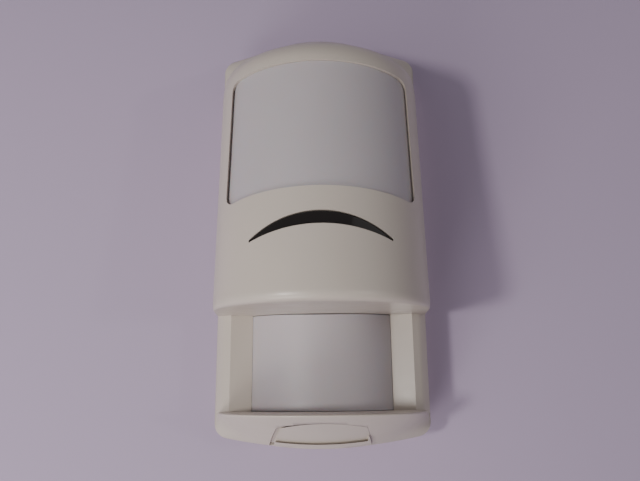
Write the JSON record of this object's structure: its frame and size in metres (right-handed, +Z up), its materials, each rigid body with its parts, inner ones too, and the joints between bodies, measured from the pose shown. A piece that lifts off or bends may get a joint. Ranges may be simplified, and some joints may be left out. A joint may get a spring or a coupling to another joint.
{
  "type": "motion sensor",
  "caption": "Wall-mounted infrared motion sensor: rear base with circuit board, hinged front cover with a curved upper lens, a look-down lens, a smoked indicator window and a latch.",
  "frame": {"origin": "centre of the flat rear face that lies on the wall", "axes": "+Z up, -Y out of the wall towards the room, +X to the right seen from the room"},
  "size_m": [0.0692, 0.0637, 0.138],
  "materials": {
    "cover_plastic": "moulded ivory ABS with a fine satin grain",
    "lens_plastic": "milky polyethylene lens, matte, faintly segmented",
    "inner_plastic": "plain off-white moulding",
    "smoked_window": "smoked near-black acrylic, polished",
    "clear_plastic": "clear polished acrylic",
    "circuit_board": "glass-epoxy board with green solder mask",
    "plated_steel": "zinc-plated steel",
    "sensor_can": "nickel-plated steel can",
    "black_plastic": "black moulded plastic",
    "capacitor_sleeve": "black shrink sleeve on aluminium",
    "green_plastic": "green moulded terminal body",
    "blue_plastic": "blue moulded switch body",
    "white_plastic": "white moulded plastic",
    "grommet_rubber": "dark grey rubber",
    "red_led": "diffused red epoxy",
    "green_led": "diffused green epoxy",
    "amber_led": "diffused amber epoxy"
  },
  "bodies": {
    "base": {"rear_base": "cover_plastic", "cable_grommet": "grommet_rubber", "main_board": "circuit_board", "board_screw_left": "plated_steel", "board_screw_right": "plated_steel", "sensor_stand": "black_plastic", "upper_pyro_sensor": "sensor_can", "lower_pyro_sensor": "sensor_can", "terminal_block": "green_plastic", "alarm_relay": "black_plastic", "processor_chip": "black_plastic", "supply_capacitor": "capacitor_sleeve", "filter_capacitor": "capacitor_sleeve", "tamper_switch_body": "black_plastic", "dip_switch_body": "blue_plastic", "range_trimmer_body": "blue_plastic", "indicator_led_red": "red_led", "indicator_led_green": "green_led", "indicator_led_amber": "amber_led", "terminal_screw_1": "plated_steel", "terminal_screw_2": "plated_steel", "terminal_screw_3": "plated_steel", "terminal_screw_4": "plated_steel", "terminal_screw_5": "plated_steel", "terminal_screw_6": "plated_steel", "terminal_screw_7": "plated_steel", "terminal_screw_8": "plated_steel"},
    "cover": {"front_cover": "cover_plastic", "upper_lens": "lens_plastic", "upper_lens_frame": "inner_plastic", "lower_lens": "lens_plastic", "lower_lens_frame": "inner_plastic", "indicator_window": "smoked_window", "light_guide": "clear_plastic", "latch_keeper": "inner_plastic"},
    "latch": {"locking_latch": "cover_plastic"},
    "tamper_button": {"tamper_plunger": "white_plastic"},
    "range_trimmer": {"range_trimmer_rotor": "white_plastic"},
    "dip_1": {"dip_slider_1": "white_plastic"},
    "dip_2": {"dip_slider_2": "white_plastic"},
    "dip_3": {"dip_slider_3": "white_plastic"},
    "dip_4": {"dip_slider_4": "white_plastic"}
  },
  "joints": [
    {"name": "cover_hinge", "type": "hinge", "parent": "base", "child": "cover", "pos_m": [0, -0.0103, 0.069], "axis": [-1, 0, 0], "range_deg": [0, 60]},
    {"name": "latch_slide", "type": "slide", "parent": "cover", "child": "latch", "axis": [1, 0, 0], "range_m": [-0.0012, 0]},
    {"name": "tamper_press", "type": "slide", "parent": "base", "child": "tamper_button", "axis": [0, -1, 0], "range_m": [-0.0012, 0], "stiffness_N_per_m": 150},
    {"name": "range_turn", "type": "hinge", "parent": "base", "child": "range_trimmer", "pos_m": [-0.0175, -0.017, -0.006], "axis": [0, -1, 0], "range_deg": [-135, 135]},
    {"name": "dip_1_slide", "type": "slide", "parent": "base", "child": "dip_1", "axis": [0, 0, 1], "range_m": [0, 0.0018]},
    {"name": "dip_2_slide", "type": "slide", "parent": "base", "child": "dip_2", "axis": [0, 0, 1], "range_m": [0, 0.0018]},
    {"name": "dip_3_slide", "type": "slide", "parent": "base", "child": "dip_3", "axis": [0, 0, 1], "range_m": [0, 0.0018]},
    {"name": "dip_4_slide", "type": "slide", "parent": "base", "child": "dip_4", "axis": [0, 0, 1], "range_m": [0, 0.0018]}
  ]
}
